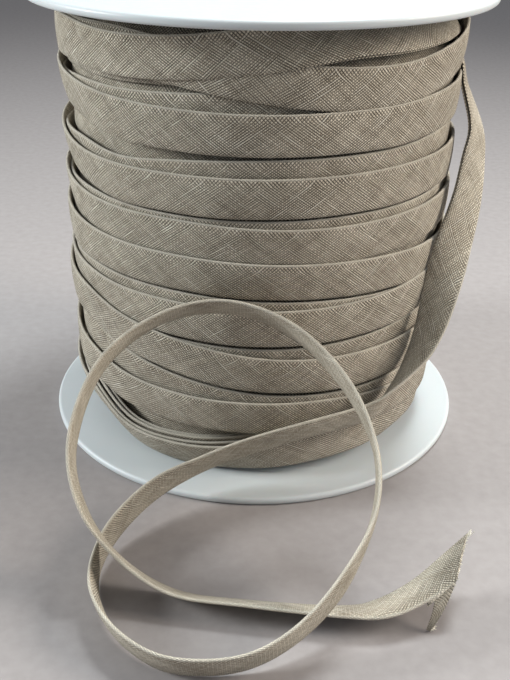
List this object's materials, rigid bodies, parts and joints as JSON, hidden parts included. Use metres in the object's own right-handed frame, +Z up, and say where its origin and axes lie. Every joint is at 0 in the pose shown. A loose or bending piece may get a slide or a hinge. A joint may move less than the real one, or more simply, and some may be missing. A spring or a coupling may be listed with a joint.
{
  "type": "roll of bias binding",
  "caption": "Upright white plastic reel with flat end discs, wound with taupe folded bias binding whose loose end falls in a hoop in front of it.",
  "frame": {"origin": "middle of the lower disc's underside, on the floor", "axes": "+Z up along the reel's axis, -Y towards the side where the loose end lies, +X to the right seen from that side"},
  "size_m": [0.15, 0.2272, 0.15],
  "materials": {
    "reel_plastic": "smooth white moulded plastic with a low sheen",
    "binding_cotton": "plain-weave taupe cotton cut on the bias and folded"
  },
  "bodies": {
    "root": {"flange_bottom": "reel_plastic", "flange_top": "reel_plastic", "winding": "binding_cotton", "loose_end": "binding_cotton"}
  },
  "joints": []
}
